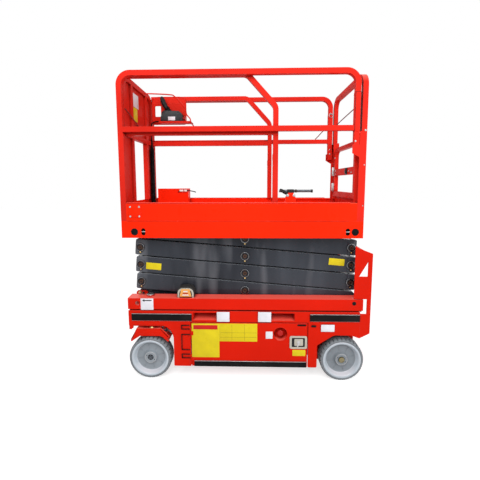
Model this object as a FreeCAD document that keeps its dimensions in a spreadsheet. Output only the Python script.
"""Slab scissor lift: a small electric work platform on four wheels.

Millimetres. +Z is up, the machine drives towards -X, and its left side is at -Y. The origin lies on
the ground under the middle of the machine. Everything stands as parked: stack down, deck run in.
"""
import FreeCAD, Part
import Sketcher
import math
import operator
import os
from FreeCAD import Placement, Rotation, Vector

SIZES = (
    # name, value in millimetres or degrees, what it measures
    ("chassis_length", 1644, "length of the chassis side plates"),
    ("chassis_width", 760, "outside width over the slide channels and the wheels"),
    ("ladder_depth", 73, "rear of the chassis to the rear edge of the ladder"),
    ("platform_overhang", 25, "front of the platform ahead of the chassis"),
    ("platform_rear_overhang", 1, "rear of the platform behind the chassis"),
    ("platform_inset", 10, "sides of the platform inside the chassis width"),
    ("body_inset", 6, "chassis side plates inside the chassis width"),
    ("plate", 6, "thickness of the chassis plates"),
    ("body_top", 510, "top edge of the chassis side plates"),
    ("floor_drop", 5, "drop from that edge to the chassis floor plate's top"),
    ("ground_gap", 95, "clearance under the chassis legs"),
    ("channel_rise", 98, "chassis floor to the top of the slide channels"),
    ("channel_skirt", 18, "chassis floor to the lower edge of the slide channels' webs"),
    ("channel_depth", 94, "width of the slide channels' flanges"),
    ("channel_overhang", 17, "rear of the slide channels behind the chassis"),
    ("wheel_radius", 154, "outside radius of the tyres"),
    ("wheel_width", 100, "width of the tyres"),
    ("rim_radius", 122, "outside radius of the rims"),
    ("axle_radius", 20, "radius of the wheel axles"),
    ("front_axle_setback", 147.5, "front of the chassis to the front axle"),
    ("rear_axle_setback", 117.5, "rear axle to the rear of the chassis"),
    ("kingpin_radius", 22, "radius of the kingpins"),
    ("steer_headroom", 84, "top of the tyres to the underside of the steering box"),
    ("steer_arm", 100, "kingpin to tie rod pin"),
    ("running_fit", 0.05, "radial clearance at pins"),
    ("bay_setback", 298.5, "front axle to the front edge of the tray bays"),
    ("bay_rear_gap", 242.5, "rear edge of the tray bays to the rear axle"),
    ("door_gap", 5, "gap round the tray doors"),
    ("door_bottom", 98, "lower edge of the tray doors"),
    ("keel_side", 60, "keel plates to the middle of the machine"),
    ("fork_pocket_width", 168, "width of the forklift pockets"),
    ("fork_pocket_drop", 62, "chassis floor to the lower edge of the forklift pockets"),
    ("arm_clearance", 140, "platform length less the pin to pin length of an arm"),
    ("arm_height", 114, "height of the scissor arm tube"),
    ("arm_width", 48, "width of the scissor arm tube"),
    ("arm_gap", 6, "gap between outer and inner arms, and between outer arms and channels"),
    ("arm_overhang", 36, "length of an arm past its end pin"),
    ("arm_chamfer", 20, "corner cut at the ends of an arm"),
    ("stack_offset", 24, "middle pins behind the middle of the platform"),
    ("base_pin_rise", 66, "chassis floor to the lowest pins"),
    ("pin_rise", 127, "height from one end pin to the next with the stack down"),
    ("pin_radius", 18, "radius of the scissor pins"),
    ("pin_head_radius", 30, "radius of the pin heads"),
    ("pin_head", 5, "thickness of the pin heads"),
    ("roller_radius", 21, "radius of the rollers at the sliding ends"),
    ("roller_width", 40, "width of the rollers"),
    ("cross_tube_radius", 28, "radius of the tubes between inner arms"),
    ("trunnion_inset", 230, "lower cylinder pin to the arm's rear pin"),
    ("rod_pin_reach", 200, "upper cylinder pin from the arm's front pin"),
    ("barrel_radius", 42, "radius of the lift cylinder's barrel"),
    ("barrel_clearance", 200, "cylinder pins' spread less the barrel's length"),
    ("rod_radius", 25, "radius of the lift cylinder's rod"),
    ("rod_clearance", 160, "cylinder pins' spread less the rod's length"),
    ("deck_rise", 74, "highest pins to the walking surface of the main deck"),
    ("deck_depth", 118, "height of the deck's side beams"),
    ("deck_sheet", 5, "thickness of the deck sheet and its beams"),
    ("toe_height", 126, "height of the toe boards above the deck"),
    ("toe_sheet", 4, "thickness of the toe boards"),
    ("hem_radius", 8.5, "radius of the rolled hem along the toe boards"),
    ("rail_height", 1008, "deck to the top of the guard rails"),
    ("mid_rail_height", 642, "deck to the top of the middle rails"),
    ("rail_tube", 35, "side of the square rail tube"),
    ("rail_bend", 95, "outside radius of the guard rails' bends"),
    ("foot_height", 597, "height of the front legs' stout lower part"),
    ("foot_width", 38, "width along the machine of that part"),
    ("socket_height", 515, "deck to the floor of the rear sockets"),
    ("post_height", 602, "height of the rear post channels"),
    ("post_depth", 90, "depth across the machine of the rear post channels"),
    ("post_width", 46, "width along the machine of the rear post channels"),
    ("post_sheet", 5, "thickness of the rear post channels"),
    ("running_gap", 5, "gap between the main rails and the extension's rails"),
    ("extension_gap", 582, "rear of the extension deck to the rear of the platform"),
    ("extension_sheet", 4, "thickness of the extension deck sheet"),
    ("glide_height", 5.2, "height of the glide strips under the extension deck"),
    ("seat_gap", 0.3, "gap at a seat that slides"),
    ("collar_height", 418, "deck to the underside of the extension rails' collars"),
    ("front_panel_gap", 290, "clear width between the middle posts of the front frame"),
    ("gate_gap", 7.5, "gap between the entry gate and each post"),
    ("gate_top", 553, "deck to the top of the entry gate"),
    ("gate_bottom", 147, "deck to the bottom of the entry gate"),
    ("hose_radius", 19, "radius of the corrugated hose at the front frame"),
    ("lead_radius", 5.5, "radius of the control lead"),
    ("stop_recess", 50, "radius of the emergency stop's recess"),
)

doc = FreeCAD.newDocument("ScissorLift")
sheet = doc.addObject("Spreadsheet::Sheet", "sizes")
OPERATIONS = {"+": operator.add, "-": operator.sub, "*": operator.mul, "/": operator.truediv}


class Size(float):
    """A number that remembers the sheet expression it comes from."""

    def __new__(cls, number, text=None):
        self = super().__new__(cls, number)
        self.text = text if text else repr(float(number))
        return self

    def __add__(self, other):
        return combine(self, "+", other)

    def __radd__(self, other):
        return combine(other, "+", self)

    def __sub__(self, other):
        return combine(self, "-", other)

    def __rsub__(self, other):
        return combine(other, "-", self)

    def __mul__(self, other):
        return combine(self, "*", other)

    def __rmul__(self, other):
        return combine(other, "*", self)

    def __truediv__(self, other):
        return combine(self, "/", other)

    def __neg__(self):
        return combine(-1, "*", self)


def text_of(number):
    return getattr(number, "text", repr(float(number)))


def combine(first, sign, second):
    value = OPERATIONS[sign](float(first), float(second))
    return Size(value, f"({text_of(first)} {sign} {text_of(second)})")


def fill_sheet():
    """Write each driving size into a cell of its own, with its alias."""
    found = {}
    for row, (name, value, meaning) in enumerate(SIZES, 1):
        sheet.set(f"A{row}", meaning)
        sheet.set(f"B{row}", str(value))
        sheet.setAlias(f"B{row}", name)
        found[name] = Size(value, f"sizes.{name}")
    doc.recompute()
    return found


S = fill_sheet()
LEFT, RIGHT = -1, 1
SIDES = (("left", LEFT), ("right", RIGHT))

# Along the machine
MACHINE_LENGTH = S["platform_overhang"] + S["chassis_length"] + S["ladder_depth"]
PLATFORM_FRONT = -MACHINE_LENGTH / 2
CHASSIS_FRONT = PLATFORM_FRONT + S["platform_overhang"]
CHASSIS_REAR = CHASSIS_FRONT + S["chassis_length"]
MACHINE_REAR = CHASSIS_REAR + S["ladder_depth"]
PLATFORM_REAR = CHASSIS_REAR + S["platform_rear_overhang"]
CHANNEL_FRONT = CHASSIS_FRONT + 1
CHANNEL_REAR = CHASSIS_REAR + S["channel_overhang"]
FRONT_AXLE = CHASSIS_FRONT + S["front_axle_setback"]
REAR_AXLE = CHASSIS_REAR - S["rear_axle_setback"]
BAY_FRONT = FRONT_AXLE + S["bay_setback"]
BAY_REAR = REAR_AXLE - S["bay_rear_gap"]
EXT_REAR = PLATFORM_REAR - S["extension_gap"]

# Across the machine
HALF_CHASSIS = S["chassis_width"] / 2
HALF_BODY = HALF_CHASSIS - S["body_inset"]
HALF_PLATFORM = HALF_CHASSIS - S["platform_inset"]
KINGPIN_SIDE = HALF_CHASSIS - S["wheel_width"] / 2
ARM_OUTSIDE = HALF_CHASSIS - S["channel_depth"] - S["arm_gap"]
INNER_OUTSIDE = ARM_OUTSIDE - S["arm_width"] - S["arm_gap"]
INNER_INSIDE = INNER_OUTSIDE - S["arm_width"]
EXT_SIDE = HALF_PLATFORM - S["rail_tube"] - S["running_gap"]
POST_INSIDE = HALF_PLATFORM - S["post_depth"]

# Upwards
LEVELS = 4
FLOOR_TOP = S["body_top"] - S["floor_drop"]
CHANNEL_TOP = FLOOR_TOP + S["channel_rise"]
CHANNEL_BOTTOM = FLOOR_TOP + S["channel_skirt"]
FORK_BOTTOM = FLOOR_TOP - S["fork_pocket_drop"]
BAY_TOP = FORK_BOTTOM - 13
TYRE_TOP = S["wheel_radius"] * 2
STEER_BOX_BOTTOM = TYRE_TOP + S["steer_headroom"]
BASE_PIN = FLOOR_TOP + S["base_pin_rise"]
TOP_PIN = BASE_PIN + S["pin_rise"] * LEVELS
DECK_TOP = TOP_PIN + S["deck_rise"]
DECK_BOTTOM = DECK_TOP - S["deck_depth"]
TOE_TOP = DECK_TOP + S["toe_height"]
RAIL_TOP = DECK_TOP + S["rail_height"]
MID_RAIL_TOP = DECK_TOP + S["mid_rail_height"]
SOCKET_FLOOR = DECK_TOP + S["socket_height"]
POST_TOP = DECK_TOP + S["post_height"]
EXT_FLOOR = DECK_TOP + S["glide_height"] + S["seat_gap"]
EXT_TOP = EXT_FLOOR + S["extension_sheet"]

# Scissor stack
ARM_LENGTH = PLATFORM_REAR - PLATFORM_FRONT - S["arm_clearance"]
REST_ANGLE = Size(
    math.degrees(math.asin(S["pin_rise"] / ARM_LENGTH)),
    f"asin(sizes.pin_rise / {ARM_LENGTH.text})",
)
ARM_RUN = Size(
    math.sqrt(ARM_LENGTH ** 2 - S["pin_rise"] ** 2),
    f"sqrt({ARM_LENGTH.text} ^ 2 - sizes.pin_rise ^ 2)",
)
STACK_MIDDLE = (PLATFORM_FRONT + PLATFORM_REAR) / 2 + S["stack_offset"]
FRONT_PIN = STACK_MIDDLE - ARM_RUN / 2
REAR_PIN = STACK_MIDDLE + ARM_RUN / 2
TRUNNION_REACH = ARM_LENGTH - S["trunnion_inset"]
CYLINDER_SPREAD = TRUNNION_REACH - S["rod_pin_reach"]
LUG = Size(8)
LUG_GAP = S["running_gap"]


def bind(thing, prop, number):
    """Tie a property to the sheet when its number comes from there."""
    if isinstance(number, Size) and "sizes." in number.text:
        thing.setExpression(prop, number.text)
    elif "." in prop:
        base = thing.Placement.Base
        setattr(base, prop[-1], float(number))
        thing.Placement = Placement(base, thing.Placement.Rotation)
    else:
        setattr(thing, prop, float(number))


def place(thing, x, y, z):
    for axis, number in (("x", x), ("y", y), ("z", z)):
        bind(thing, "Placement.Base." + axis, number)
    return thing


def block(name, low, high):
    """A box from its lowest to its highest corner."""
    thing = doc.addObject("Part::Box", name)
    for prop, start, end in zip(("Length", "Width", "Height"), low, high):
        bind(thing, prop, end - start)
    return place(thing, *low)


def pair_block(name, x, y, z):
    """Two boxes, mirrored about the middle plane; y is the inner and the outer distance from it."""
    near = block(name + "_left", (x[0], -y[1], z[0]), (x[1], -y[0], z[1]))
    far = block(name + "_right", (x[0], y[0], z[0]), (x[1], y[1], z[1]))
    return [near, far]


TURNS = {
    "x": Rotation(Vector(0, 1, 0), 90),
    "y": Rotation(Vector(1, 0, 0), -90),
    "z": Rotation(),
}


def rod(name, axis, start, length, radius):
    """A round bar from a start point along a positive axis."""
    thing = doc.addObject("Part::Cylinder", name)
    thing.Placement = Placement(Vector(0, 0, 0), TURNS[axis])
    bind(thing, "Radius", radius)
    bind(thing, "Height", length)
    return place(thing, *start)


def cross_rod(name, x, z, inner, outer, radius, side):
    """A round bar across the machine, on one side of the middle plane."""
    start = inner if side > 0 else -outer
    return rod(name, "y", (x, start, z), outer - inner, radius)


def fuse(name, things):
    thing = doc.addObject("Part::MultiFuse", name)
    thing.Shapes = things
    thing.Refine = True
    return thing


def cut(name, base, tools):
    thing = doc.addObject("Part::Cut", name)
    thing.Base = base
    thing.Tool = tools[0] if len(tools) == 1 else fuse(name + "_tools", tools)
    thing.Refine = True
    return thing


def round_corner(before, corner, after, radius):
    """The arc that rounds a corner, with its two ends."""
    back = (before - corner).normalize()
    ahead = (after - corner).normalize()
    half = back.getAngle(ahead) / 2
    middle = (back + ahead).normalize()
    start = corner + back * (radius / math.tan(half))
    end = corner + ahead * (radius / math.tan(half))
    bulge = corner + middle * (radius / math.sin(half) - radius)
    return start, Part.Arc(start, bulge, end), end


def outline_edges(points, closed):
    """Lines between points of (vector, corner radius), with arcs at the rounded ones."""
    edges = []
    count = len(points)
    starts, ends = {}, {}
    for index, (corner, radius) in enumerate(points):
        inside = closed or 0 < index < count - 1
        if radius and inside:
            before = points[index - 1][0]
            after = points[(index + 1) % count][0]
            start, arc, end = round_corner(before, corner, after, float(radius))
        else:
            start, arc, end = corner, None, corner
        ends[index], starts[index] = start, end
        edges.append((index, arc))
    result = []
    for index, arc in edges:
        if arc:
            result.append(arc)
        following = (index + 1) % count
        if closed or index < count - 1:
            result.append(Part.LineSegment(starts[index], ends[following]))
    return result


PLANES = {"XY": "XY_Plane", "XZ": "XZ_Plane", "YZ": "YZ_Plane"}


def origin_plane(body, plane):
    return [part for part in body.Origin.OriginFeatures if part.Role == PLANES[plane]][0]


def draw_constrained(sketch, outline):
    """A straight-sided outline whose corners are tied to the sheet."""
    count = len(outline)
    corners = [Vector(u, v, 0) for u, v in outline]
    first = sketch.GeometryCount
    for index in range(count):
        sketch.addGeometry(Part.LineSegment(corners[index], corners[(index + 1) % count]), False)
    for index in range(count):
        here, after = first + index, first + (index + 1) % count
        sketch.addConstraint(Sketcher.Constraint("Coincident", here, 2, after, 1))
        for kind, number in zip(("DistanceX", "DistanceY"), outline[index]):
            made = sketch.addConstraint(Sketcher.Constraint(kind, -1, 1, here, 1, float(number)))
            if "sizes." in text_of(number):
                sketch.setExpression(f"Constraints[{made}]", text_of(number))


def draw_free(sketch, outline):
    """An outline with rounded corners, worked out from the sheet's numbers."""
    points = [(Vector(point[0], point[1], 0), point[2] if len(point) > 2 else 0) for point in outline]
    for edge in outline_edges(points, True):
        sketch.addGeometry(edge, False)


def draw_circle(sketch, centre, radius):
    made = sketch.addGeometry(Part.Circle(Vector(*centre, 0), Vector(0, 0, 1), float(radius)), False)
    rows = (
        ("DistanceX", (-1, 1, made, 3), centre[0]),
        ("DistanceY", (-1, 1, made, 3), centre[1]),
        ("Radius", (made,), radius),
    )
    for kind, where, number in rows:
        row = sketch.addConstraint(Sketcher.Constraint(kind, *where, float(number)))
        if "sizes." in text_of(number):
            sketch.setExpression(f"Constraints[{row}]", text_of(number))


def plate(name, plane, near, thick, outline, holes=(), circles=()):
    """A sheet cut to an outline. near is its start along the plane's normal: +X, -Y or +Z."""
    body = doc.addObject("PartDesign::Body", name)
    sketch = body.newObject("Sketcher::SketchObject", name + "_outline")
    sketch.AttachmentSupport = (origin_plane(body, plane), [""])
    sketch.MapMode = "FlatFace"
    for edges in (outline, *holes):
        if any(len(point) > 2 and point[2] for point in edges):
            draw_free(sketch, edges)
        else:
            draw_constrained(sketch, [point[:2] for point in edges])
    for centre, radius in circles:
        draw_circle(sketch, centre, radius)
    sketch.AttachmentOffset = Placement(Vector(0, 0, float(near)), Rotation())
    if "sizes." in text_of(near):
        sketch.setExpression("AttachmentOffset.Base.z", text_of(near))
    pad = body.newObject("PartDesign::Pad", name + "_pad")
    pad.Profile = sketch
    pad.Length = float(thick)
    if "sizes." in text_of(thick):
        pad.setExpression("Length", text_of(thick))
    return body


def turned(name, profile):
    """A body of revolution about its own Z axis from (radius, height) points."""
    body = doc.addObject("PartDesign::Body", name)
    sketch = body.newObject("Sketcher::SketchObject", name + "_profile")
    sketch.AttachmentSupport = (origin_plane(body, "XZ"), [""])
    sketch.MapMode = "FlatFace"
    if any(len(point) > 2 and point[2] for point in profile):
        draw_free(sketch, profile)
    else:
        draw_constrained(sketch, profile)
    turn = body.newObject("PartDesign::Revolution", name + "_turn")
    turn.Profile = sketch
    turn.ReferenceAxis = (sketch, ["V_Axis"])
    turn.Angle = 360
    return body


def bent_path(points):
    """A wire through points of (x, y, z, bend radius)."""
    corners = [(Vector(*point[:3]), point[3] if len(point) > 3 else 0) for point in points]
    return Part.Wire([edge.toShape() for edge in outline_edges(corners, False)])


def bent_tube(name, points, across, width=None):
    """A square tube swept along points of (x, y, z, bend radius); across is the plane's normal."""
    width = width or S["rail_tube"]
    start = Vector(*points[0][:3])
    ahead = (Vector(*points[1][:3]) - start).normalize()
    normal = Vector(*across)
    up = ahead.cross(normal)
    half = width / 2
    square = [start + normal * (u * half) + up * (v * half) for u, v in ((-1, -1), (1, -1), (1, 1), (-1, 1))]
    section = Part.makePolygon(square + square[:1])
    return drawn(name, bent_path(points).makePipeShell([section], True, False))


def round_tube(points, radius):
    """A round bar swept along points of (x, y, z, bend radius)."""
    start = Vector(*points[0][:3])
    ahead = (Vector(*points[1][:3]) - start).normalize()
    section = Part.Wire([Part.Circle(start, ahead, float(radius)).toShape()])
    return bent_path(points).makePipeShell([section], True, False)


def drawn(name, shape):
    thing = doc.addObject("Part::Feature", name)
    thing.Shape = shape
    return thing


SUBPARTS = []


def subpart(name, thing):
    """Give a finished piece its own name."""
    thing.Label = name
    SUBPARTS.append(thing)
    return thing


# Chassis


def side_plate(name, side):
    """One side of the chassis: front arch, tray bay, forklift pockets and rear arch."""
    front, rear, top = CHASSIS_FRONT, CHASSIS_REAR, S["body_top"]
    leg_front = BAY_FRONT - 124
    arch_low = TYRE_TOP + 10
    leg_rear = BAY_REAR + 65
    low = S["ground_gap"]
    arch_top = TYRE_TOP + 95
    outline = (
        (front, top, 0),
        (front, arch_top, 0),
        (front + 14, arch_top - 37, 0),
        (front + 34, arch_top - 20, 0),
        (front + 30, arch_top, 8),
        (leg_front, arch_top, 105),
        (leg_front, low, 8),
        (BAY_FRONT, low, 0),
        (BAY_FRONT, BAY_TOP, 0),
        (BAY_REAR, BAY_TOP, 0),
        (BAY_REAR, low, 10),
        (leg_rear, low, 10),
        (leg_rear, TYRE_TOP - 46, 0),
        (REAR_AXLE - 62, TYRE_TOP + 30, 60),
        (REAR_AXLE + 62, TYRE_TOP + 30, 40),
        (rear, arch_low, 0),
        (rear, top, 0),
    )
    pockets = []
    for start in FORK_POCKETS:
        stop = start + S["fork_pocket_width"]
        low_edge, high_edge = FORK_BOTTOM, FLOOR_TOP - S["plate"] - 2
        pockets.append(((start, low_edge), (stop, low_edge), (stop, high_edge), (start, high_edge)))
    near = -HALF_BODY if side > 0 else HALF_BODY - S["plate"]
    body = plate(name + "_sheet", "XZ", near, S["plate"], outline, pockets)
    return fuse(name, [body, *hinge_halves(name, side, 0)])


HINGES = (150, 345)
HINGE_X = BAY_FRONT + S["door_gap"] / 2
HINGE_SIDE = HALF_BODY + 3


def hinge_halves(name, side, turn):
    """The knuckles and leaf of each tray hinge: turn 0 is the chassis half, turn 1 the door half."""
    things = []
    leaf = ((HINGE_X - 16, HINGE_X - 0.5), (HINGE_X + 0.5, HINGE_X + 16))[turn]
    for index, middle in enumerate(HINGES):
        spans = (((-40, -16), (16, 40)), ((-15, 15),))[turn]
        for low, high in spans:
            tag = f"{name}_hinge_{index}_{low + 50}"
            z = (Size(middle + low), Size(middle + high))
            spot = (HINGE_X, HINGE_SIDE * side, z[0])
            things.append(rod(tag + "_knuckle", "z", spot, z[1] - z[0], Size(3)))
            things.append(pick(pair_block(tag + "_leaf", leaf, (HALF_BODY, HALF_BODY + 2.5), z), side))
    return things


FORK_POCKETS = (BAY_FRONT + 20, BAY_REAR - 265)


def slide_channel(name, side):
    """The slide channel along the top of one side, open towards the middle.

    Both sides use the same channel, so the right one stands turned round, with the larger eye at its rear end.
    """
    outer, inner = HALF_CHASSIS, HALF_CHASSIS - S["channel_depth"]
    sheet_t = S["plate"]
    track = BASE_PIN - S["roller_radius"] - S["seat_gap"]
    outline = (
        (outer, CHANNEL_BOTTOM),
        (outer, CHANNEL_TOP),
        (inner, CHANNEL_TOP),
        (inner, CHANNEL_TOP - sheet_t),
        (outer - sheet_t, CHANNEL_TOP - sheet_t),
        (outer - sheet_t, track),
        (inner + 2, track),
        (inner + 2, track - sheet_t),
        (outer - 34, track - sheet_t),
        (outer - 34, FLOOR_TOP),
        (outer - 34 + sheet_t, FLOOR_TOP),
        (outer - 34 + sheet_t, track - sheet_t),
        (outer - sheet_t, track - sheet_t),
        (outer - sheet_t, CHANNEL_BOTTOM),
    )
    if side < 0:
        outline = [(-y, z) for y, z in outline]
    web = plate(name + "_channel", "YZ", CHANNEL_FRONT, CHANNEL_REAR - CHANNEL_FRONT, outline)
    cap = rod(name + "_cap", "z", (FRONT_AXLE, (KINGPIN_SIDE - 12) * side, CHANNEL_TOP), Size(8), Size(26))
    eyes = [(TIE_DOWN_FRONT, TIE_DOWN_HEIGHT, 16), (TIE_DOWN_REAR, TIE_DOWN_HEIGHT + 8, 14)]
    if side > 0:
        eyes = [(CHANNEL_FRONT + CHANNEL_REAR - x, z, radius) for x, z, radius in eyes]
    holes = []
    for index, (x, z, radius) in enumerate(eyes):
        holes.append(cross_rod(f"{name}_eye_{index}", x, z, outer - 20, outer + 20, radius, side))
    return cut(name, fuse(name + "_whole", [web, cap]), holes)


TIE_DOWN_FRONT = CHASSIS_FRONT + 69
TIE_DOWN_REAR = CHASSIS_REAR - 46
TIE_DOWN_HEIGHT = FLOOR_TOP + 62


def chassis_floor():
    """Floor plate, keel, bulkheads, steering box and rear box, welded into one frame."""
    inside = HALF_BODY - S["plate"]
    t = S["plate"]
    floor_low = FLOOR_TOP - t
    floor = block("floor", (CHASSIS_FRONT + t, -inside, floor_low), (CHASSIS_REAR - t, inside, FLOOR_TOP))
    front = block("front_plate", (CHASSIS_FRONT, -inside, TYRE_TOP + 58), (CHASSIS_FRONT + t, inside, FLOOR_TOP))
    rear = block("rear_plate", (CHASSIS_REAR - t, -inside, TYRE_TOP + 10), (CHASSIS_REAR, inside, FLOOR_TOP))
    steer_rear = BAY_FRONT - 30
    box = block("steer_box", (CHASSIS_FRONT + t, -inside, STEER_BOX_BOTTOM),
                (steer_rear, inside, floor_low))
    hollow = block("steer_box_hollow", (CHASSIS_FRONT + 2 * t, -inside + t, STEER_BOX_BOTTOM - t),
                   (FRONT_AXLE - 60, inside - t, floor_low))
    hollow_back = block("steer_box_back", (FRONT_AXLE + 60, -inside + t, STEER_BOX_BOTTOM - t),
                        (steer_rear - t, inside - t, floor_low))
    keel = pair_block("keel", (steer_rear, REAR_AXLE - 160), (S["keel_side"], S["keel_side"] + t),
                      (S["ground_gap"] + 15, floor_low))
    bulkheads = []
    for word, x in (("front", BAY_FRONT - 24), ("rear", BAY_REAR + 24)):
        bulkheads += pair_block(f"bulkhead_{word}", (x, x + t), (S["keel_side"] + t, inside),
                                (S["ground_gap"] + 15, floor_low))
    rear_box = block("rear_box", (REAR_AXLE - 160, -REAR_BOX_SIDE, 96), (CHASSIS_REAR - t, REAR_BOX_SIDE, floor_low))
    rear_hollow = block("rear_hollow", (REAR_AXLE - 154, -REAR_BOX_SIDE + t, 80),
                        (CHASSIS_REAR - 2 * t, REAR_BOX_SIDE - t, floor_low - 30))
    lugs = []
    for word, side in SIDES:
        for tag, inner in (("outer", INNER_OUTSIDE + LUG_GAP), ("inner", INNER_INSIDE - LUG_GAP - LUG)):
            crown = BASE_PIN + 41 if tag == "outer" else BASE_PIN + 26
            outline = (
                (FRONT_PIN - 56, FLOOR_TOP),
                (FRONT_PIN + 34, FLOOR_TOP),
                (FRONT_PIN + 30, crown - 12),
                (FRONT_PIN + 18, crown),
                (FRONT_PIN - 44, crown),
                (FRONT_PIN - 56, crown - 12),
            )
            near = -inner - LUG if side > 0 else inner
            lugs.append(plate(f"base_lug_{tag}_{word}", "XZ", near, LUG, outline))
        lugs.append(cross_rod(f"base_pin_{word}", FRONT_PIN, BASE_PIN, INNER_INSIDE - LUG_GAP - LUG,
                              INNER_OUTSIDE + LUG_GAP + LUG, S["pin_radius"], side))
    sleeves = []
    for index, start in enumerate(FORK_POCKETS):
        stop = start + S["fork_pocket_width"]
        sleeves.append(block(f"fork_sleeve_{index}", (start - t, -inside, FORK_BOTTOM - t), (stop + t, inside, floor_low)))
    frame = fuse("frame_welded", [floor, front, rear, box, *keel, *bulkheads, *sleeves, rear_box, *lugs])
    tunnels = []
    for index, start in enumerate(FORK_POCKETS):
        tunnels.append(block(f"fork_tunnel_{index}", (start, -inside, FORK_BOTTOM),
                             (start + S["fork_pocket_width"], inside, floor_low)))
    for word, side in SIDES:
        tunnels.append(rod(f"kingpin_bore_{word}", "z",
                           (FRONT_AXLE, KINGPIN_SIDE * side, STEER_BOX_BOTTOM - 10),
                           110, S["kingpin_radius"] + S["running_fit"]))
    tunnels += [hollow, hollow_back, rear_hollow]
    tunnels.append(rod("rear_axle_bore", "y", (REAR_AXLE, -inside, S["wheel_radius"]), inside * 2,
                       S["axle_radius"]))
    return cut("chassis_frame", frame, tunnels)


REAR_BOX_SIDE = HALF_CHASSIS - S["wheel_width"] - 18


def rear_axle():
    reach = HALF_CHASSIS - 5
    return rod("rear_axle", "y", (REAR_AXLE, -reach, S["wheel_radius"]), reach * 2, S["axle_radius"])


def rear_ladder():
    """Two slanted end plates, notched round the channels' ends, and the rungs between them."""
    front, rear = CHASSIS_REAR, MACHINE_REAR
    outline = (
        (front, TYRE_TOP + 10),
        (rear - 2, TYRE_TOP + 47),
        (rear, LADDER_TOP - 52),
        (rear - 96, LADDER_TOP - 15),
        (front - 47, LADDER_TOP),
        (front - 47, CHANNEL_TOP + 2),
        (rear - 30, CHANNEL_TOP + 2),
        (rear - 30, FLOOR_TOP - 7),
        (front, FLOOR_TOP - 7),
    )
    upper = ((rear - 30, LADDER_TOP - 108), (rear - 90, LADDER_TOP - 214), (rear - 30, LADDER_TOP - 214))
    things = []
    for word, side in SIDES:
        near = -HALF_BODY if side > 0 else HALF_BODY - S["plate"]
        things.append(plate(f"ladder_side_{word}", "XZ", near, S["plate"], outline, [upper]))
    inside = HALF_BODY - S["plate"]
    for index, low in enumerate(RUNGS):
        things.append(block(f"rung_{index}", (rear - 40, -inside, low), (rear - 10, inside, low + 30)))
    return fuse("rear_ladder", things)


LADDER_TOP = S["body_top"] + 471
RUNGS = (TYRE_TOP + 77, FLOOR_TOP + 135, LADDER_TOP - 88)


def bumper_strips():
    """Black rubber strips along both sides."""
    things = []
    rows = (
        # name, front end, rear end, lower edge
        ("front", CHASSIS_FRONT + 24, BAY_FRONT + 9, FORK_BOTTOM - 5),
        ("rear", BAY_REAR + 10, CHASSIS_REAR - 1, FORK_BOTTOM - 1),
    )
    for word, start, stop, low in rows:
        things += pair_block("strip_" + word, (start, stop), (HALF_BODY, HALF_CHASSIS), (low, low + 49))
    return fuse("bumper_strips", things)


# Trays


def tray(name, side):
    """Swing-out tray: outer door, floor and end flanges."""
    front = BAY_FRONT + S["door_gap"]
    rear = BAY_REAR - S["door_gap"]
    top = BAY_TOP - S["door_gap"]
    outer = HALF_BODY
    t = S["plate"]
    wall = 4
    sheet_outline = ((front, S["door_bottom"]), (rear, S["door_bottom"]), (rear, top), (front, top))
    recess = [((STOP_X, STOP_HEIGHT), S["stop_recess"])] if side < 0 else []
    near = -outer if side > 0 else outer - t
    door = plate(name + "_door", "XZ", near, t, sheet_outline, circles=recess)
    floor = pick(pair_block(name + "_floor", (front + 4, front + 690), (S["keel_side"] + 30, outer - t),
                            (S["ground_gap"] + 15, S["ground_gap"] + 15 + wall)), side)
    back = pick(pair_block(name + "_back", (front + 4, front + 690), (S["keel_side"] + 30, S["keel_side"] + 30 + wall),
                           (S["ground_gap"] + 15, 230)), side)
    return fuse(name, [door, floor, back, *hinge_halves(name, side, 1)])


def door_strip(name, side):
    """Rubber strip along the foot of a tray door."""
    span = (BAY_FRONT + 23.5, BAY_REAR - 10.5)
    rise = (S["door_bottom"], S["door_bottom"] + 39)
    return pick(pair_block(name, span, (HALF_BODY, HALF_CHASSIS), rise), side)


def pick(pair, side):
    """Keep one box of a mirrored pair."""
    keep, drop = (pair[0], pair[1]) if side < 0 else (pair[1], pair[0])
    doc.removeObject(drop.Name)
    return keep


def tray_load(name, side, length, top):
    """A heavy block that stands in a tray."""
    front = BAY_FRONT + S["door_gap"] + 20
    low = S["ground_gap"] + 19
    return pick(pair_block(name, (front, front + length), (S["keel_side"] + 36, HALF_BODY - S["plate"] - 6),
                           (low, Size(top))), side)


# Wheels and steering


def wheel(word, x, side):
    """Tyre and rim of one wheel, turned about the axle."""
    radius, width = S["wheel_radius"], S["wheel_width"]
    rim = S["rim_radius"]
    face = HALF_CHASSIS * side
    facing = Rotation(Vector(1, 0, 0), 90 * -side)
    spot = Placement(Vector(x, face - width / 2 * side, S["wheel_radius"]), facing)
    half = width / 2
    shoulder = 7
    tyre = turned(f"tyre_{word}_form", (
        (rim, -half), (radius, -half + shoulder), (radius, half - shoulder), (rim, half),
    ))
    hub = S["axle_radius"] + S["running_fit"]
    dish = turned(f"rim_{word}_form", (
        (hub, -10), (rim - 10, -10), (rim, -half), (rim, half), (rim - 12, half), (62, half - 34),
        (44, half - 16), (hub, half - 16),
    ))
    tyre.Placement = spot
    dish.Placement = spot
    return subpart(f"tyre_{word}", tyre), subpart(f"rim_{word}", dish)


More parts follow.
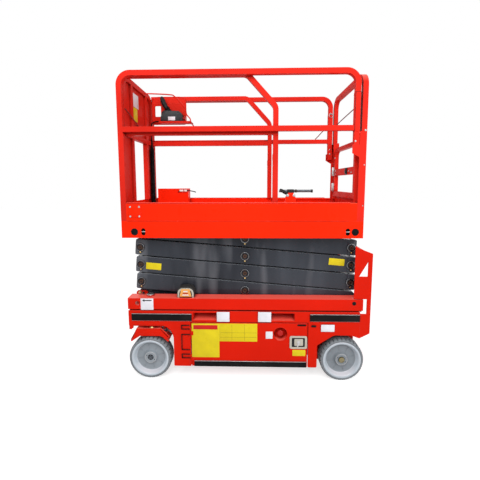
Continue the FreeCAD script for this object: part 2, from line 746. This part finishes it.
def knuckle(name, side):
    """Steering yoke: hat plate over the wheel, kingpin, inner plate, drive hub, axle and steering arm."""
    x, y = FRONT_AXLE, KINGPIN_SIDE * side
    hat_low = TYRE_TOP + 20
    hat_top = hat_low + 8
    reach = Size(78)
    slant = Size(60)
    outline = (
        (x - reach, hat_top), (x + reach, hat_top), (x + reach + slant, hat_top - 54),
        (x + reach + slant - 6, hat_top - 60), (x + reach - 4, hat_low), (x - reach + 4, hat_low),
        (x - reach - slant + 6, hat_top - 60), (x - reach - slant, hat_top - 54),
    )
    wheel_inside = HALF_CHASSIS - S["wheel_width"]
    inner, outer = wheel_inside - 18, HALF_CHASSIS - 8
    near = -outer if side > 0 else inner
    hat = plate(name + "_hat", "XZ", near, outer - inner, outline)
    web = pick(pair_block(name + "_web", (x - 60, x + 60), (inner, wheel_inside - 6),
                          (S["wheel_radius"] - 60, hat_low)), side)
    motor = cross_rod(name + "_motor", x, S["wheel_radius"], wheel_inside - 90, wheel_inside - 6, 58, side)
    axle = cross_rod(name + "_axle", x, S["wheel_radius"], inner, HALF_CHASSIS - 14, S["axle_radius"], side)
    pin = rod(name + "_kingpin", "z", (x, y, hat_low), FLOOR_TOP - S["plate"] - 10 - hat_low, S["kingpin_radius"])
    boss = rod(name + "_boss", "z", (x, y, hat_top), Size(30), Size(32))
    arm = block(name + "_arm", (x, y - 22, hat_low), (x + S["steer_arm"] + 20, y + 22, hat_top))
    stud = rod(name + "_stud", "z", (x + S["steer_arm"], y, hat_top), Size(30), Size(10))
    return fuse(name, [hat, web, motor, axle, pin, boss, arm, stud])


def tie_rod():
    """The bar that joins the two steering arms."""
    x = FRONT_AXLE + S["steer_arm"]
    low = TYRE_TOP + 34
    things = [block("tie_bar", (x - 12, -KINGPIN_SIDE, low), (x + 12, KINGPIN_SIDE, low + 14))]
    holes = []
    for word, side in SIDES:
        y = KINGPIN_SIDE * side
        things.append(rod(f"tie_eye_{word}", "z", (x, y, low), 14, 20))
        holes.append(rod(f"tie_hole_{word}", "z", (x, y, low - 5), 30, Size(10) + S["running_fit"]))
    return cut("tie_rod", fuse("tie_rod_bar", things), holes)


# Scissor stack


def arm_outline(length):
    """One arm's side view, along its own axis from the front pin."""
    over, half, chamfer = S["arm_overhang"], S["arm_height"] / 2, S["arm_chamfer"]
    return (
        (-over, -half + chamfer), (-over + chamfer, -half), (length + over - chamfer, -half),
        (length + over, -half + chamfer), (length + over, half - chamfer), (length + over - chamfer, half),
        (-over + chamfer, half), (-over, half - chamfer),
    )


def arm_spot(height, rising):
    """Where an arm's own axis lies: from its front pin, rising or falling to the rear."""
    turn = Rotation(Vector(0, 1, 0), -REST_ANGLE if rising else REST_ANGLE)
    return Placement(Vector(FRONT_PIN, 0, height), turn)


def arm_tube(name, side, outside, height, rising, bores):
    near = -outside if side > 0 else outside - S["arm_width"]
    body = plate(name, "XZ", near, S["arm_width"], arm_outline(ARM_LENGTH),
                 circles=[((reach, 0), radius) for reach, radius in bores])
    body.Placement = arm_spot(height, rising)
    return body


def on_arm(height, rising, reach, lift=0.0):
    """Place along the machine and height of a point given along an arm and square to it."""
    point = arm_spot(height, rising).multVec(Vector(reach, 0, lift))
    return point.x, point.z


def inner_pair(level):
    """The two inner arms of a level, the tubes that join them and, at the top, the rollers."""
    height = BASE_PIN + S["pin_rise"] * (level - 1)
    bore = S["pin_radius"] + S["running_fit"]
    things = []
    bores = [(0.0, bore), (ARM_LENGTH / 2, bore)]
    if level < LEVELS:
        bores.append((ARM_LENGTH, bore))
    for word, side in SIDES:
        things.append(arm_tube(f"inner_{level}_tube_{word}", side, INNER_OUTSIDE, height, True, bores))
    tubes = [(150.0, 0.0), (1390.0, 0.0)]
    if level == 1:
        tubes = [(150.0, 0.0), (TRUNNION_REACH, 0.0)]
    if level == 3:
        tubes = [(S["rod_pin_reach"] + LUG_REACH, LUG_LIFT), (1390.0, 0.0)]
    for index, (reach, lift) in enumerate(tubes):
        x, z = on_arm(height, True, reach, lift)
        things.append(rod(f"inner_{level}_cross_{index}", "y", (x, -INNER_INSIDE - 10, z),
                          INNER_INSIDE * 2 + 20, S["cross_tube_radius"]))
    if level == 3:
        things += rod_lugs(height)
    if level == LEVELS:
        for word, side in SIDES:
            things += roller_set(f"upper_{word}", REAR_PIN, TOP_PIN, INNER_OUTSIDE - 10, side)
    return fuse(f"inner_arms_{level}", things)


def roller_set(name, x, z, inner, side):
    """A pin and the roller on its outer end."""
    start = ARM_OUTSIDE + 12
    pin = cross_rod(name + "_roller_pin", x, z, inner, start + S["roller_width"], S["pin_radius"], side)
    roller = cross_rod(name + "_roller", x, z, start, start + S["roller_width"], S["roller_radius"], side)
    return [pin, roller]


def rod_lugs(height):
    """Two lugs on the third level that take the cylinder rod's eye between them."""
    pin = S["rod_pin_reach"]
    far = pin + LUG_REACH
    outline = (
        (pin - 30, -10), (pin - 14, -27), (pin + 16, -27), (far + 20, LUG_LIFT - 20), (far + 27, LUG_LIFT),
        (far + 12, LUG_LIFT + 24), (far - 10, LUG_LIFT + 26), (pin - 12, 28), (pin - 30, 12),
    )
    things = []
    for word, side in SIDES:
        inner = EYE_SIDE + 0.5
        near = -inner - 12 if side > 0 else inner
        lug = plate(f"rod_lug_{word}", "XZ", near, 12, outline, circles=[((pin, 0.0), 16)])
        lug.Placement = arm_spot(height, True)
        things.append(lug)
    return things


LUG_REACH, LUG_LIFT = 145.0, 28.0
EYE_SIDE = 30.0


def outer_pair(level):
    """The two outer arms of a level with the pins that they carry."""
    height = BASE_PIN + S["pin_rise"] * level
    things = []
    inner_end = INNER_INSIDE - 4
    head_end = ARM_OUTSIDE + S["pin_head"]
    top_bore = [(0.0, S["pin_radius"] + S["running_fit"])] if level == LEVELS else []
    for word, side in SIDES:
        tag = f"outer_{level}_{word}"
        things.append(arm_tube(tag + "_tube", side, ARM_OUTSIDE, height, False, top_bore))
        reaches = [ARM_LENGTH / 2]
        if level < LEVELS:
            reaches.append(0.0)
        if level > 1:
            reaches.append(ARM_LENGTH)
        for index, reach in enumerate(reaches):
            x, z = on_arm(height, False, reach)
            things.append(cross_rod(f"{tag}_pin_{index}", x, z, inner_end, head_end, S["pin_radius"], side))
            things.append(cross_rod(f"{tag}_head_{index}", x, z, ARM_OUTSIDE, head_end,
                                    S["pin_head_radius"], side))
        if level == 1:
            things += roller_set(f"lower_{word}", REAR_PIN, BASE_PIN, ARM_OUTSIDE - 20, side)
    return fuse(f"outer_arms_{level}", things)


def lift_cylinder():
    """Barrel on the first level's cross tube, rod up to the third level's lugs."""
    x0, z0 = on_arm(BASE_PIN, True, TRUNNION_REACH)
    x1, z1 = on_arm(BASE_PIN + S["pin_rise"] * 2, True, S["rod_pin_reach"])
    start, end = Vector(x0, 0, z0), Vector(x1, 0, z1)
    ahead = (end - start).normalize()
    side = Vector(0, 1, 0)
    reach = (end - start).Length
    barrel_end = CYLINDER_SPREAD - S["barrel_clearance"]
    ring = Part.makeCylinder(46, 2 * EYE_SIDE, start - side * EYE_SIDE, side)
    tube = Part.makeCylinder(S["barrel_radius"], barrel_end - 20, start + ahead * 20, ahead)
    gland = Part.makeCylinder(S["barrel_radius"] + 5, 40, start + ahead * (barrel_end - 40), ahead)
    trunnion = Part.makeCylinder(S["cross_tube_radius"] + S["running_fit"], 200, start - side * 100, side)
    bore = Part.makeCylinder(S["rod_radius"] + S["running_fit"], barrel_end, start + ahead * 100, ahead)
    barrel = ring.fuse([tube, gland]).cut(trunnion).cut(bore)
    eye = Part.makeCylinder(32, 2 * EYE_SIDE, end - side * EYE_SIDE, side)
    rod_length = CYLINDER_SPREAD - S["rod_clearance"]
    bar = Part.makeCylinder(S["rod_radius"], rod_length, start + ahead * (reach - rod_length), ahead)
    return drawn("cylinder_barrel", barrel), drawn("cylinder_rod", eye.fuse(bar).removeSplitter())


# Platform


def main_deck():
    """Deck sheet, side beams, end beams, roller tracks and front pin lugs."""
    t = S["deck_sheet"]
    x = (PLATFORM_FRONT, PLATFORM_REAR)
    top = block("deck_plate", (x[0], -HALF_PLATFORM, DECK_TOP - t), (x[1], HALF_PLATFORM, DECK_TOP))
    things = [top]
    things += pair_block("deck_web", x, (HALF_PLATFORM - t, HALF_PLATFORM), (DECK_BOTTOM, DECK_TOP))
    things += pair_block("deck_flange", x, (HALF_PLATFORM - 28, HALF_PLATFORM), (DECK_BOTTOM, DECK_BOTTOM + t))
    for word, start in (("front", x[0]), ("rear", x[1] - t)):
        things.append(block(f"deck_end_{word}", (start, -HALF_PLATFORM, DECK_BOTTOM),
                            (start + t, HALF_PLATFORM, DECK_TOP)))
    track = TOP_PIN - S["roller_radius"] - S["seat_gap"]
    inner = ARM_OUTSIDE + LUG_GAP
    outer = ARM_OUTSIDE + 12 + S["roller_width"] + LUG_GAP
    run = (Size(-40), PLATFORM_REAR - t)
    things += pair_block("track_floor", run, (inner, outer + t), (track - t, track))
    things += pair_block("track_web", run, (outer, outer + t), (track, DECK_TOP - t))
    for word, side in SIDES:
        for tag, start in (("outer", ARM_OUTSIDE + LUG_GAP),
                           ("inner", ARM_OUTSIDE - S["arm_width"] - LUG_GAP - LUG)):
            outline = (
                (FRONT_PIN - 30, DECK_TOP - t), (FRONT_PIN - 24, TOP_PIN - 28),
                (FRONT_PIN + 24, TOP_PIN - 28), (FRONT_PIN + 40, DECK_TOP - t),
            )
            near = -start - LUG if side > 0 else start
            things.append(plate(f"deck_lug_{tag}_{word}", "XZ", near, LUG, outline))
        things.append(cross_rod(f"deck_pin_{word}", FRONT_PIN, TOP_PIN,
                                ARM_OUTSIDE - S["arm_width"] - LUG_GAP - LUG,
                                ARM_OUTSIDE + LUG_GAP + LUG, S["pin_radius"], side))
    holes = []
    for word, side in SIDES:
        for index, (x, lift, radius) in enumerate(BEAM_HOLES):
            holes.append(cross_rod(f"beam_hole_{word}_{index}", x, DECK_BOTTOM + lift, HALF_PLATFORM - 2 * t,
                                   HALF_PLATFORM + t, radius, side))
    return cut("main_deck", fuse("main_deck_whole", things), holes)


BEAM_HOLES = (
    # place along the machine, height above the beam's lower edge, radius
    (PLATFORM_FRONT + 90.5, 43, 21),
    (PLATFORM_FRONT + 152.5, 33, 15),
    (PLATFORM_FRONT + 152.5, 53, 15),
    (PLATFORM_REAR - 104.5, 33, 15),
    (PLATFORM_REAR - 104.5, 53, 15),
    (PLATFORM_REAR - 54.5, 43, 21),
)


def toe_boards():
    """Toe boards with a rolled hem along both sides, and the plain one across the rear end."""
    t, hem = S["toe_sheet"], S["hem_radius"]
    x = (PLATFORM_FRONT + S["foot_width"], PLATFORM_REAR - S["post_width"])
    z = (DECK_TOP, TOE_TOP)
    things = pair_block("toe_side", x, (HALF_PLATFORM - t, HALF_PLATFORM), (z[0], z[1] - hem))
    for word, side in SIDES:
        things.append(rod(f"toe_hem_{word}", "x", (x[0], (HALF_PLATFORM - hem) * side, z[1] - hem), x[1] - x[0], hem))
    clear = HALF_PLATFORM - S["post_sheet"]
    things.append(block("toe_rear", (PLATFORM_REAR - t, -clear, z[0]), (PLATFORM_REAR, clear, z[1])))
    return fuse("toe_boards", things)


def guard_rail(name, side):
    """Main guard rail of one side: bent top tube with both legs and the middle rail."""
    half = S["rail_tube"] / 2
    y = (HALF_PLATFORM - half) * side
    front = PLATFORM_FRONT + half
    rear = SOCKET_X
    top = RAIL_TOP - half
    middle = MID_RAIL_TOP - half
    bend = S["rail_bend"] - half
    loop = bent_tube(name + "_loop", (
        (front, y, TOE_TOP), (front, y, top, bend), (rear, y, top, bend), (rear, y, SOCKET_FLOOR),
    ), (0, 1, 0))
    bar = block(name + "_middle", (front, y - half, middle - half), (rear, y + half, middle + half))
    foot = block(name + "_foot", (PLATFORM_FRONT, y - half, DECK_TOP),
                 (PLATFORM_FRONT + S["foot_width"], y + half, DECK_TOP + S["foot_height"]))
    return fuse(name, [loop, bar, foot])


SOCKET_X = PLATFORM_REAR - S["post_width"] - S["rail_tube"] / 2 - 2


def rear_posts():
    """Rear post channels with their sockets, and the bent frame over the entry."""
    t, half = S["post_sheet"], S["rail_tube"] / 2
    x0, x1 = PLATFORM_REAR - S["post_width"], PLATFORM_REAR
    outer, inner = HALF_PLATFORM, POST_INSIDE
    seat = SOCKET_FLOOR - S["seat_gap"]
    lip = SOCKET_X - half - 10
    outline = (
        (x0, DECK_TOP), (x1, DECK_TOP), (x1, POST_TOP - 14), (x1 - 14, POST_TOP), (x0, POST_TOP), (x0, seat),
        (lip, seat), (lip, seat - 56), (x0, seat - 84),
    )
    z = (TOE_TOP, POST_TOP)
    things = []
    for word, side in SIDES:
        near = -outer if side > 0 else outer - t
        things.append(plate(f"post_outer_{word}", "XZ", near, t, outline))
    things += pair_block("post_rear", (x1 - t, x1), (inner, outer), z)
    things += pair_block("post_inner", (x0, x1), (inner, inner + t), z)
    things += pair_block("socket", (SOCKET_X - half, x0), (outer - S["rail_tube"], outer - t), (seat - 50, seat))
    for index, z in enumerate(GATE_HINGES):
        things.append(rod(f"gate_pin_{index}", "z", (GATE_PIN_X, GATE_PIN_Y, z - 22), Size(44), Size(5)))
        for tag, low in (("low", z - 22), ("high", z + 14)):
            things.append(block(f"gate_bracket_{tag}_{index}", (GATE_PIN_X - 8, GATE_PIN_Y - 7, low),
                                (GATE_PIN_X + 8, inner + t, low + 8)))
            things.append(block(f"gate_bracket_{tag}_root_{index}", (GATE_PIN_X + 4, inner, low),
                                (GATE_PIN_X + 20, inner + t, low + 8)))
    y = HALF_PLATFORM - half
    xr = PLATFORM_REAR - half
    top = RAIL_TOP - 20 - half
    bend = S["rail_bend"] - half
    low = POST_TOP - 55
    things.append(bent_tube("entry_arch", (
        (xr, -y, low), (xr, -y, top, bend), (xr, y, top, bend), (xr, y, low),
    ), (1, 0, 0)))
    return fuse("rear_posts", things)


def entry_gate():
    """Entry gate: bent loop, middle bar and lower bar, hung on the right rear post."""
    half = 16.0
    x = GATE_X
    y1 = POST_INSIDE - S["gate_gap"]
    y0 = -y1
    top, low = DECK_TOP + S["gate_top"] - half, DECK_TOP + S["gate_bottom"]
    bend = 60.0
    loop = bent_tube("gate_loop", (
        (x, y1 - half, low), (x, y1 - half, top, bend), (x, y0 + half, top, bend), (x, y0 + half, low),
    ), (1, 0, 0), 32)
    middle = block("gate_middle", (x - half, y0 + half, DECK_TOP + 322), (x + half, y1 - half, DECK_TOP + 376))
    lower = block("gate_lower", (x - half, y0 + half, low), (x + half, y1 - half, low + 43))
    things = [loop, middle, lower]
    for index, z in enumerate(GATE_HINGES):
        barrel = rod(f"gate_barrel_{index}", "z", (GATE_PIN_X, GATE_PIN_Y, z - 12), Size(24), Size(10))
        bore = rod(f"gate_bore_{index}", "z", (GATE_PIN_X, GATE_PIN_Y, z - 20), Size(40), Size(5) + S["running_fit"])
        arm = block(f"gate_arm_{index}", (GATE_PIN_X, y1 - 20, z - 12), (x, y1 - half / 2, z + 12))
        things.append(cut(f"gate_leaf_{index}", fuse(f"gate_leaf_{index}_whole", [barrel, arm]), [bore]))
    return fuse("entry_gate", things)


GATE_X = PLATFORM_REAR - S["post_width"] / 2 - 4
GATE_PIN_X = GATE_X - 28
GATE_PIN_Y = POST_INSIDE - 10
GATE_HINGES = (DECK_TOP + 224, DECK_TOP + 358)


# Extension deck


def extension_deck():
    """Roll-out deck: sheet, toe boards, glides."""
    x = (PLATFORM_FRONT, EXT_REAR)
    t = S["extension_sheet"]
    things = [block("ext_sheet", (x[0], -EXT_SIDE, EXT_FLOOR), (x[1], EXT_SIDE, EXT_TOP))]
    things += pair_block("ext_toe", x, (EXT_SIDE - t, EXT_SIDE), (EXT_TOP, TOE_TOP))
    things.append(block("ext_toe_front", (x[0], -EXT_SIDE, EXT_TOP), (x[0] + t, EXT_SIDE, TOE_TOP)))
    things += pair_block("ext_glide", (x[1] - 150, x[1] - 10), (EXT_SIDE - 60, EXT_SIDE - 20),
                         (DECK_TOP + S["seat_gap"], EXT_FLOOR))
    things += pair_block("ext_glide_front", (x[0] + 20, x[0] + 60), (EXT_SIDE - 60, EXT_SIDE - 20),
                         (DECK_TOP + S["seat_gap"], EXT_FLOOR))
    return fuse("extension_deck", things)


def extension_rail(name, side):
    """Extension guard rail of one side, with its slanted rear corner."""
    half = S["rail_tube"] / 2
    y = (EXT_SIDE - half) * side
    front = PLATFORM_FRONT + half
    rear = EXT_REAR - half
    top = RAIL_TOP - half
    loop = bent_tube(name + "_loop", (
        (front + 19, y, top), (rear - 195, y, top, 60), (rear, y, top - 215, 60), (rear, y, TOE_TOP),
    ), (0, 1, 0))
    middle = MID_RAIL_TOP - half - 18
    bar = block(name + "_middle", (front + 19, y - half, middle - half), (rear, y + half, middle + half))
    collar = DECK_TOP + S["collar_height"]
    things = [loop, bar]
    for word, grow, low, high in (("collar", 3, collar, collar + 40), ("leg", 1.5, TOE_TOP, collar)):
        across = (EXT_SIDE - S["rail_tube"] - grow, EXT_SIDE)
        things.append(pick(pair_block(f"{name}_{word}", (rear - half - grow, rear + half), across, (low, high)), side))
    return fuse(name, things)


def front_frame():
    """Front frame of the extension: bent tube, middle posts, bars and closing sheets."""
    half = S["rail_tube"] / 2
    x = PLATFORM_FRONT + half
    y = EXT_SIDE - half
    top = RAIL_TOP - half
    arch = bent_tube("front_arch", (
        (x, -y, TOE_TOP), (x, -y, top, 80), (x, y, top, 80), (x, y, TOE_TOP),
    ), (1, 0, 0))
    things = [arch]
    inner = S["front_panel_gap"] / 2
    things += pair_block("front_middle_post", (x - half, x + half), (inner, inner + S["rail_tube"]),
                         (TOE_TOP, RAIL_TOP - S["rail_tube"] + 2))
    middle = MID_RAIL_TOP - half - 18
    things.append(block("front_middle_bar", (x - half, -y, middle - half), (x + half, y, middle + half)))
    things.append(block("front_upper_sheet", (x - 2, -y, middle), (x + 2, y, top)))
    things += pair_block("front_lower_sheet", (x - 2, x + 2), (inner + 5, y), (TOE_TOP, middle))
    return fuse("front_frame", things)


def control_box():
    """Platform control box with its sloping top."""
    outline = (
        (CONTROL_X - 84, CONTROL_Z), (CONTROL_X + 84, CONTROL_Z), (CONTROL_X + 84, CONTROL_Z + 50),
        (CONTROL_X + 70, CONTROL_Z + 98), (CONTROL_X - 70, CONTROL_Z + 98), (CONTROL_X - 84, CONTROL_Z + 50),
    )
    return plate("control_box", "XZ", -CONTROL_Y, 90, outline)


CONTROL_X = PLATFORM_FRONT + 223.5
CONTROL_Y = EXT_SIDE - 46
CONTROL_Z = RAIL_TOP - 230


def joystick():
    """Drive lever with its grip and bellows, leaning back from the box."""
    base = Vector(CONTROL_X - 30, CONTROL_Y - 40, CONTROL_Z + 98)
    lean = Vector(-0.42, 0, 1).normalize()
    bellows = Part.makeCone(26, 13, 36, base, Vector(0, 0, 1))
    grip = Part.makeCone(10, 17, 118, base + lean * 26, lean)
    return drawn("joystick", bellows.fuse(grip).removeSplitter())


def control_shield():
    """Rounded plate behind the control box, with the hand hole."""
    x, z = CONTROL_X, CONTROL_Z
    outline = ((x - 180, z - 9, 20), (x + 122, z - 9, 20), (x + 122, z + 228, 60), (x - 180, z + 228, 60))
    hole = ((x - 150, z + 60, 8), (x - 100, z + 60, 8), (x - 100, z + 150, 8), (x - 150, z + 150, 8))
    shield = plate("shield_sheet", "XZ", -(CONTROL_Y + 5), 5, outline, [hole])
    things = [shield]
    for index, start in enumerate((x - 70, x + 30)):
        things.append(block(f"shield_hook_{index}", (start, CONTROL_Y + 5, RAIL_TOP - 40),
                            (start + 24, EXT_SIDE - S["rail_tube"], RAIL_TOP - 6)))
    return fuse("control_shield", things)


def outlet_box():
    """Socket box on the extension deck, beside the right toe board."""
    return block("outlet_box", (PLATFORM_FRONT + 92, EXT_SIDE - 102, EXT_TOP),
                 (PLATFORM_FRONT + 359, EXT_SIDE - 12, DECK_TOP + 215))


def control_hose():
    """Corrugated hose up the front frame, and the lead on from it to the control box."""
    x, y = PLATFORM_FRONT + 42, EXT_SIDE - 68
    neck = DECK_TOP + 547
    ahead = Vector(0, 0, 1)
    thin = S["lead_radius"]
    hose = Part.makeCylinder(S["hose_radius"], neck - EXT_TOP, Vector(x, y, EXT_TOP), ahead)
    taper = Part.makeCone(S["hose_radius"], thin, 30, Vector(x, y, neck), ahead)
    lead = round_tube((
        (x, y, neck + 30), (x, y, CONTROL_Z - 50, 50), (x + 45, y, CONTROL_Z + 14, 30),
        (CONTROL_X - 84, y, CONTROL_Z + 14),
    ), thin)
    return drawn("control_hose", hose.fuse([taper, lead]).removeSplitter())


def lock_lever():
    """Lock lever of the extension deck on its bracket, beside the left rail."""
    x, y, bar = EXT_REAR + 93, -(EXT_SIDE - 45), DECK_TOP + 205
    outline = (
        (x - 40, DECK_TOP), (x + 40, DECK_TOP), (x + 36, bar - 46), (x + 18, bar - 12), (x - 16, bar - 12),
        (x - 36, bar - 46),
    )
    things = [
        plate("lever_bracket", "XZ", -y - 15, 30, outline),
        block("lever_head", (x - 24, y - 12, bar - 14), (x + 26, y + 12, bar + 12)),
        rod("lever_bar", "x", (x - 81, y, bar), 236, 8),
    ]
    return fuse("lock_lever", things)


def beacon():
    """Arched housing of the warning lamp on the left slide channel."""
    x, z, width, rise = BEACON_X, CHANNEL_TOP, 61, 77
    outline = ((x - width, z, 0), (x + width, z, 0), (x + width, z + rise, 40), (x - width, z + rise, 40))
    return plate("beacon", "XZ", BEACON_FACE - 62, 62, outline)


def beacon_lens():
    """Amber lens on the front of the warning lamp."""
    x, z = BEACON_X, CHANNEL_TOP
    outline = ((x - 42, z + 8), (x + 42, z + 8), (x + 30, z + 62), (x - 30, z + 62))
    return plate("beacon_lens", "XZ", BEACON_FACE, 7, outline)


BEACON_X = BAY_FRONT - 34.5
BEACON_FACE = HALF_CHASSIS - 24


def ground_controls():
    """Key switch box on the left tray door, with its recess and the switch in it."""
    y = -HALF_BODY
    x0, x1, z0, z1 = BAY_REAR - 129, BAY_REAR - 9, STOP_HEIGHT - 107, STOP_HEIGHT - 15
    box = block("switch_box", (x0, y - 6, z0), (x1, y, z1))
    recess = block("switch_recess", (x0 + 14, y - 10, z0 + 12), (x1 - 14, y - 2, z1 - 12))
    switch = rod("key_switch", "y", ((x0 + x1) / 2 - 14, y - 6, (z0 + z1) / 2), 5, 11)
    return fuse("ground_controls", [cut("switch_bezel", box, [recess]), switch])


def stop_cup():
    """Round recess in the left tray door that holds the emergency stop."""
    radius, wall, depth = S["stop_recess"], 2, 44
    back = -HALF_BODY + depth
    shell = rod("cup_shell", "y", (STOP_X, -HALF_BODY, STOP_HEIGHT), depth, radius)
    hollow = rod("cup_hollow", "y", (STOP_X, -HALF_BODY - 5, STOP_HEIGHT), depth + 5 - wall, radius - wall)
    stem = rod("cup_stem", "y", (STOP_X, back - 24, STOP_HEIGHT), 24, 13)
    return fuse("stop_cup", [cut("cup_wall", shell, [hollow]), stem])


def stop_button():
    """Mushroom head of the emergency stop."""
    return rod("stop_button", "y", (STOP_X, -HALF_BODY + 6, STOP_HEIGHT), 14, 22)


STOP_X = BAY_REAR - 196.5
STOP_HEIGHT = BAY_TOP - 85


def build():
    """Make every sub-part in order, from the ground up."""
    for word, side in SIDES:
        subpart(f"side_plate_{word}", side_plate(f"side_plate_{word}", side))
        subpart(f"slide_channel_{word}", slide_channel(f"slide_channel_{word}", side))
    subpart("chassis_frame", chassis_floor())
    subpart("rear_axle", rear_axle())
    subpart("rear_ladder", rear_ladder())
    subpart("bumper_strips", bumper_strips())
    subpart("beacon", beacon())
    subpart("beacon_lens", beacon_lens())
    for word, side in SIDES:
        subpart(f"tray_{word}", tray(f"tray_{word}", side))
        subpart(f"door_strip_{word}", door_strip(f"door_strip_{word}", side))
    subpart("battery_pack", tray_load("battery_pack", LEFT, 500, 400))
    subpart("power_unit", tray_load("power_unit", RIGHT, 600, 380))
    subpart("ground_controls", ground_controls())
    subpart("stop_cup", stop_cup())
    subpart("stop_button", stop_button())
    for word, side in SIDES:
        subpart(f"knuckle_{word}", knuckle(f"knuckle_{word}", side))
    subpart("tie_rod", tie_rod())
    for end, x in (("front", FRONT_AXLE), ("rear", REAR_AXLE)):
        for word, side in SIDES:
            wheel(f"{end}_{word}", x, side)
    for level in range(1, LEVELS + 1):
        subpart(f"inner_arms_{level}", inner_pair(level))
        subpart(f"outer_arms_{level}", outer_pair(level))
    barrel, piston_rod = lift_cylinder()
    subpart("cylinder_barrel", barrel)
    subpart("cylinder_rod", piston_rod)
    subpart("main_deck", main_deck())
    subpart("toe_boards", toe_boards())
    for word, side in SIDES:
        subpart(f"guard_rail_{word}", guard_rail(f"guard_rail_{word}", side))
    subpart("rear_posts", rear_posts())
    subpart("entry_gate", entry_gate())
    subpart("extension_deck", extension_deck())
    for word, side in SIDES:
        subpart(f"extension_rail_{word}", extension_rail(f"extension_rail_{word}", side))
    subpart("front_frame", front_frame())
    subpart("control_box", control_box())
    subpart("joystick", joystick())
    subpart("control_shield", control_shield())
    subpart("outlet_box", outlet_box())
    subpart("control_hose", control_hose())
    subpart("lock_lever", lock_lever())


def check():
    """Stop on any object that failed or any sub-part without a sound shape."""
    for thing in doc.Objects:
        if any(state in ("Invalid", "Error") for state in thing.State):
            raise RuntimeError(f"{thing.Label} failed: {thing.State}")
    for thing in SUBPARTS:
        if thing.Shape.isNull() or not thing.Shape.isValid() or not thing.Shape.Solids:
            raise RuntimeError(f"{thing.Label} has no sound shape")


build()
doc.recompute()
check()
os.makedirs("parts", exist_ok=True)
for thing in SUBPARTS:
    thing.Shape.exportStep(f"parts/{thing.Label}.step")
print(len(SUBPARTS), "sub-parts written")
